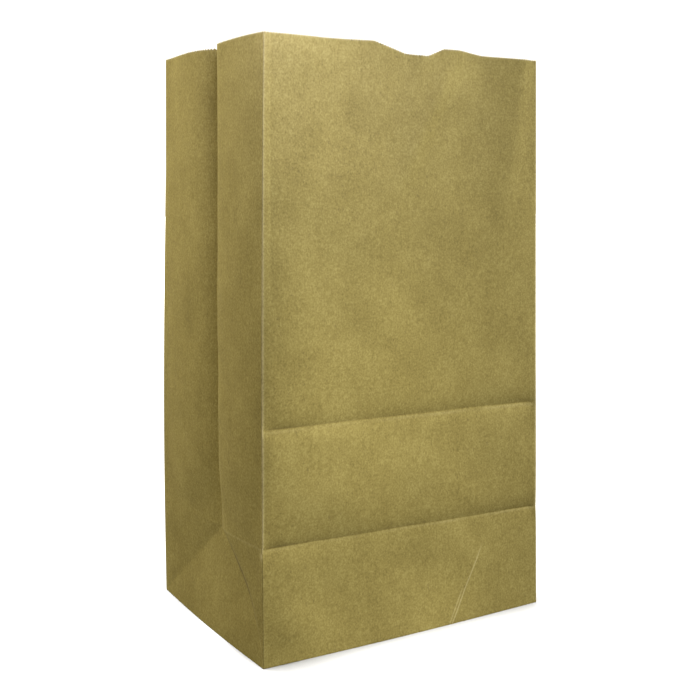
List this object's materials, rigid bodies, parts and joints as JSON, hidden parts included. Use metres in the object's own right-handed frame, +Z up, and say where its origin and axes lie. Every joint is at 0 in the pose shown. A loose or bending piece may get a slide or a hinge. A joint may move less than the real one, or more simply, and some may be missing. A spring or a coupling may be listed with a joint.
{
  "type": "paper grocery bag",
  "caption": "Plain kraft paper grocery bag standing open, with pleated gusset sides, cross folds on the front, a pasted block bottom, a pinked mouth and a thumb notch.",
  "frame": {"origin": "middle of the block bottom, on its underside", "axes": "+X to the right along the front panel, +Y from the front panel to the back, +Z up out of the mouth"},
  "size_m": [0.2185, 0.1611, 0.3784],
  "materials": {
    "kraft": "uncoated brown kraft paper, matt and lightly mottled"
  },
  "bodies": {
    "root": {"paper_bag": "kraft"}
  },
  "joints": []
}
